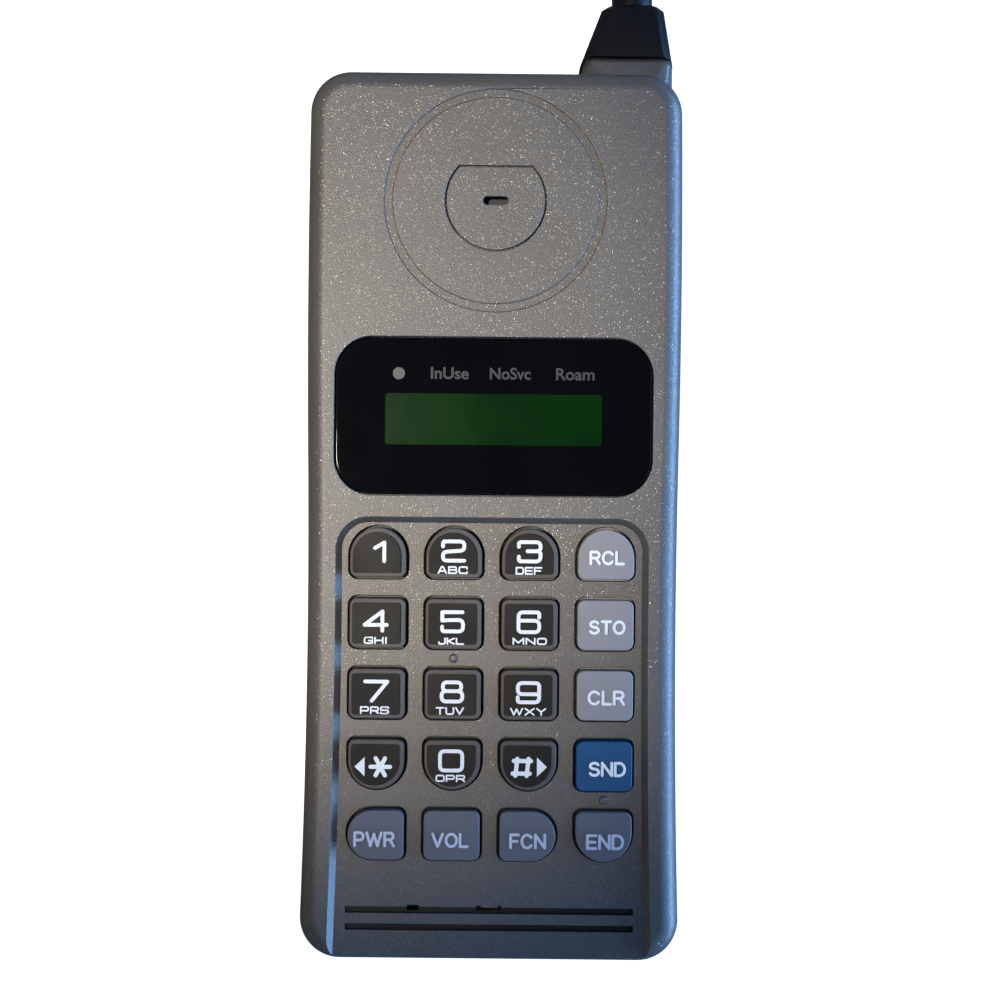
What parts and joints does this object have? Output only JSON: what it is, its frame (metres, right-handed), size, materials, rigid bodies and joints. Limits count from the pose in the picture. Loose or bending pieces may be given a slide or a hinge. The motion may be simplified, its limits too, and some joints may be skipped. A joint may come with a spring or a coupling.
{
  "type": "mobile phone",
  "caption": "Hand-held bar mobile phone with a keypad, a display window, a fixed antenna and a battery pack that slides off the back.",
  "frame": {"origin": "middle of the case's length and width, on the flat back that the phone lies on", "axes": "+X to the right of the keypad, +Y toward the earpiece and antenna, +Z out of the front face"},
  "size_m": [0.0634, 0.2576, 0.0371],
  "materials": {
    "case_grey": "moulded plastic with a fine metallic grey paint",
    "lens_black": "polished, black behind the surface",
    "window_green": "translucent green",
    "display_frame": "satin",
    "lamp_grey": "satin",
    "rubber_black": "matt",
    "rubber_grey": "matt",
    "capsule_black": "satin",
    "steel": "plain sheet",
    "brass": "plated",
    "cell_metal": "satin",
    "board_green": "solder resist",
    "connector_black": "satin",
    "key_dark": "satin",
    "key_lavender": "satin",
    "key_blue": "satin",
    "key_blue_grey": "satin"
  },
  "bodies": {
    "phone": {"front_housing": "case_grey", "rear_housing": "case_grey", "earpiece_cover": "case_grey", "display_lens": "lens_black", "display_filter": "window_green", "display_module": "display_frame", "indicator_lamps": "lamp_grey", "earpiece_gasket": "rubber_black", "microphone_boot": "rubber_black", "antenna_boot": "rubber_black", "antenna_sheath": "rubber_black", "earpiece": "capsule_black", "ringer": "capsule_black", "microphone": "steel", "shield_can": "steel", "antenna_core": "steel", "case_screws": "steel", "antenna_clip": "steel", "keypad_mat": "rubber_grey", "keypad_board": "board_green", "main_board": "board_green", "board_header": "connector_black", "accessory_connector": "connector_black", "battery_connector": "connector_black", "antenna_socket": "brass", "contact_pins": "brass"},
    "battery": {"battery_tray": "case_grey", "battery_lid": "case_grey", "battery_cells": "cell_metal", "battery_straps": "steel", "battery_terminals": "brass", "battery_catch": "steel"},
    "key_1_body": {"key_1": "key_dark"},
    "key_2_body": {"key_2": "key_dark"},
    "key_3_body": {"key_3": "key_dark"},
    "key_recall_body": {"key_recall": "key_lavender"},
    "key_4_body": {"key_4": "key_dark"},
    "key_5_body": {"key_5": "key_dark"},
    "key_6_body": {"key_6": "key_dark"},
    "key_store_body": {"key_store": "key_lavender"},
    "key_7_body": {"key_7": "key_dark"},
    "key_8_body": {"key_8": "key_dark"},
    "key_9_body": {"key_9": "key_dark"},
    "key_clear_body": {"key_clear": "key_lavender"},
    "key_star_body": {"key_star": "key_dark"},
    "key_0_body": {"key_0": "key_dark"},
    "key_pound_body": {"key_pound": "key_dark"},
    "key_send_body": {"key_send": "key_blue"},
    "key_power_body": {"key_power": "key_blue_grey"},
    "key_volume_body": {"key_volume": "key_blue_grey"},
    "key_function_body": {"key_function": "key_blue_grey"},
    "key_end_body": {"key_end": "key_blue_grey"}
  },
  "joints": [
    {"name": "key_1_press", "type": "slide", "parent": "phone", "child": "key_1_body", "axis": [0, 0, -1], "range_m": [0, 0.0008], "stiffness_N_per_m": 1500, "deforming": ["keypad_mat"]},
    {"name": "key_2_press", "type": "slide", "parent": "phone", "child": "key_2_body", "axis": [0, 0, -1], "range_m": [0, 0.0008], "stiffness_N_per_m": 1500, "deforming": ["keypad_mat"]},
    {"name": "key_3_press", "type": "slide", "parent": "phone", "child": "key_3_body", "axis": [0, 0, -1], "range_m": [0, 0.0008], "stiffness_N_per_m": 1500, "deforming": ["keypad_mat"]},
    {"name": "key_recall_press", "type": "slide", "parent": "phone", "child": "key_recall_body", "axis": [0, 0, -1], "range_m": [0, 0.0008], "stiffness_N_per_m": 1500, "deforming": ["keypad_mat"]},
    {"name": "key_4_press", "type": "slide", "parent": "phone", "child": "key_4_body", "axis": [0, 0, -1], "range_m": [0, 0.0008], "stiffness_N_per_m": 1500, "deforming": ["keypad_mat"]},
    {"name": "key_5_press", "type": "slide", "parent": "phone", "child": "key_5_body", "axis": [0, 0, -1], "range_m": [0, 0.0008], "stiffness_N_per_m": 1500, "deforming": ["keypad_mat"]},
    {"name": "key_6_press", "type": "slide", "parent": "phone", "child": "key_6_body", "axis": [0, 0, -1], "range_m": [0, 0.0008], "stiffness_N_per_m": 1500, "deforming": ["keypad_mat"]},
    {"name": "key_store_press", "type": "slide", "parent": "phone", "child": "key_store_body", "axis": [0, 0, -1], "range_m": [0, 0.0008], "stiffness_N_per_m": 1500, "deforming": ["keypad_mat"]},
    {"name": "key_7_press", "type": "slide", "parent": "phone", "child": "key_7_body", "axis": [0, 0, -1], "range_m": [0, 0.0008], "stiffness_N_per_m": 1500, "deforming": ["keypad_mat"]},
    {"name": "key_8_press", "type": "slide", "parent": "phone", "child": "key_8_body", "axis": [0, 0, -1], "range_m": [0, 0.0008], "stiffness_N_per_m": 1500, "deforming": ["keypad_mat"]},
    {"name": "key_9_press", "type": "slide", "parent": "phone", "child": "key_9_body", "axis": [0, 0, -1], "range_m": [0, 0.0008], "stiffness_N_per_m": 1500, "deforming": ["keypad_mat"]},
    {"name": "key_clear_press", "type": "slide", "parent": "phone", "child": "key_clear_body", "axis": [0, 0, -1], "range_m": [0, 0.0008], "stiffness_N_per_m": 1500, "deforming": ["keypad_mat"]},
    {"name": "key_star_press", "type": "slide", "parent": "phone", "child": "key_star_body", "axis": [0, 0, -1], "range_m": [0, 0.0008], "stiffness_N_per_m": 1500, "deforming": ["keypad_mat"]},
    {"name": "key_0_press", "type": "slide", "parent": "phone", "child": "key_0_body", "axis": [0, 0, -1], "range_m": [0, 0.0008], "stiffness_N_per_m": 1500, "deforming": ["keypad_mat"]},
    {"name": "key_pound_press", "type": "slide", "parent": "phone", "child": "key_pound_body", "axis": [0, 0, -1], "range_m": [0, 0.0008], "stiffness_N_per_m": 1500, "deforming": ["keypad_mat"]},
    {"name": "key_send_press", "type": "slide", "parent": "phone", "child": "key_send_body", "axis": [0, 0, -1], "range_m": [0, 0.0008], "stiffness_N_per_m": 1500, "deforming": ["keypad_mat"]},
    {"name": "key_power_press", "type": "slide", "parent": "phone", "child": "key_power_body", "axis": [0, 0, -1], "range_m": [0, 0.0008], "stiffness_N_per_m": 1500, "deforming": ["keypad_mat"]},
    {"name": "key_volume_press", "type": "slide", "parent": "phone", "child": "key_volume_body", "axis": [0, 0, -1], "range_m": [0, 0.0008], "stiffness_N_per_m": 1500, "deforming": ["keypad_mat"]},
    {"name": "key_function_press", "type": "slide", "parent": "phone", "child": "key_function_body", "axis": [0, 0, -1], "range_m": [0, 0.0008], "stiffness_N_per_m": 1500, "deforming": ["keypad_mat"]},
    {"name": "key_end_press", "type": "slide", "parent": "phone", "child": "key_end_body", "axis": [0, 0, -1], "range_m": [0, 0.0008], "stiffness_N_per_m": 1500, "deforming": ["keypad_mat"]},
    {"name": "battery_slide", "type": "slide", "parent": "phone", "child": "battery", "axis": [0, -1, 0], "range_m": [0, 0.008], "deforming": ["battery_catch"]}
  ]
}
